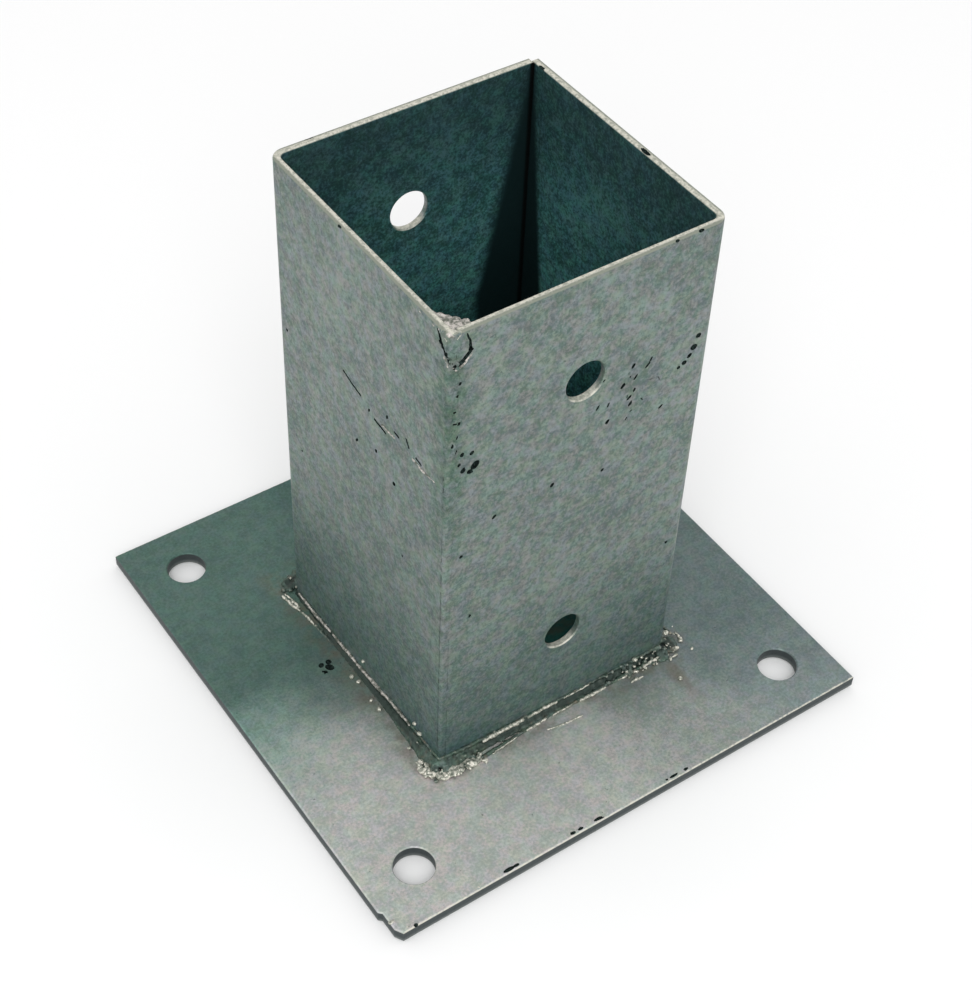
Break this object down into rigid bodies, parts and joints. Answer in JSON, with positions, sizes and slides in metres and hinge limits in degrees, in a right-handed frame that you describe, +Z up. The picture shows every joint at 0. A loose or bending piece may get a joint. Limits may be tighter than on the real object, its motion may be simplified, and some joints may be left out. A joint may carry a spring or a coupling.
{
  "type": "timber post base",
  "caption": "Galvanised steel post base: a square upright sleeve for a timber post, folded from sheet and welded to a drilled square base plate, with cross-bolt holes.",
  "frame": {"origin": "middle of the base plate's underside", "axes": "+Z up along the sleeve, +Y along the post bolts, +X to the right of them"},
  "size_m": [0.15, 0.15, 0.1544],
  "materials": {
    "zinc_plate": "dull hot-dip galvanised zinc, mottled",
    "zinc_sheet": "dull hot-dip galvanised zinc, mottled",
    "weld_metal": "rippled weld bead under hot-dip zinc"
  },
  "bodies": {
    "root": {"base_plate": "zinc_plate", "sleeve_half_left": "zinc_sheet", "sleeve_half_right": "zinc_sheet", "seam_weld_front": "weld_metal", "seam_weld_back": "weld_metal", "foot_weld_front": "weld_metal", "foot_weld_back": "weld_metal"}
  },
  "joints": []
}
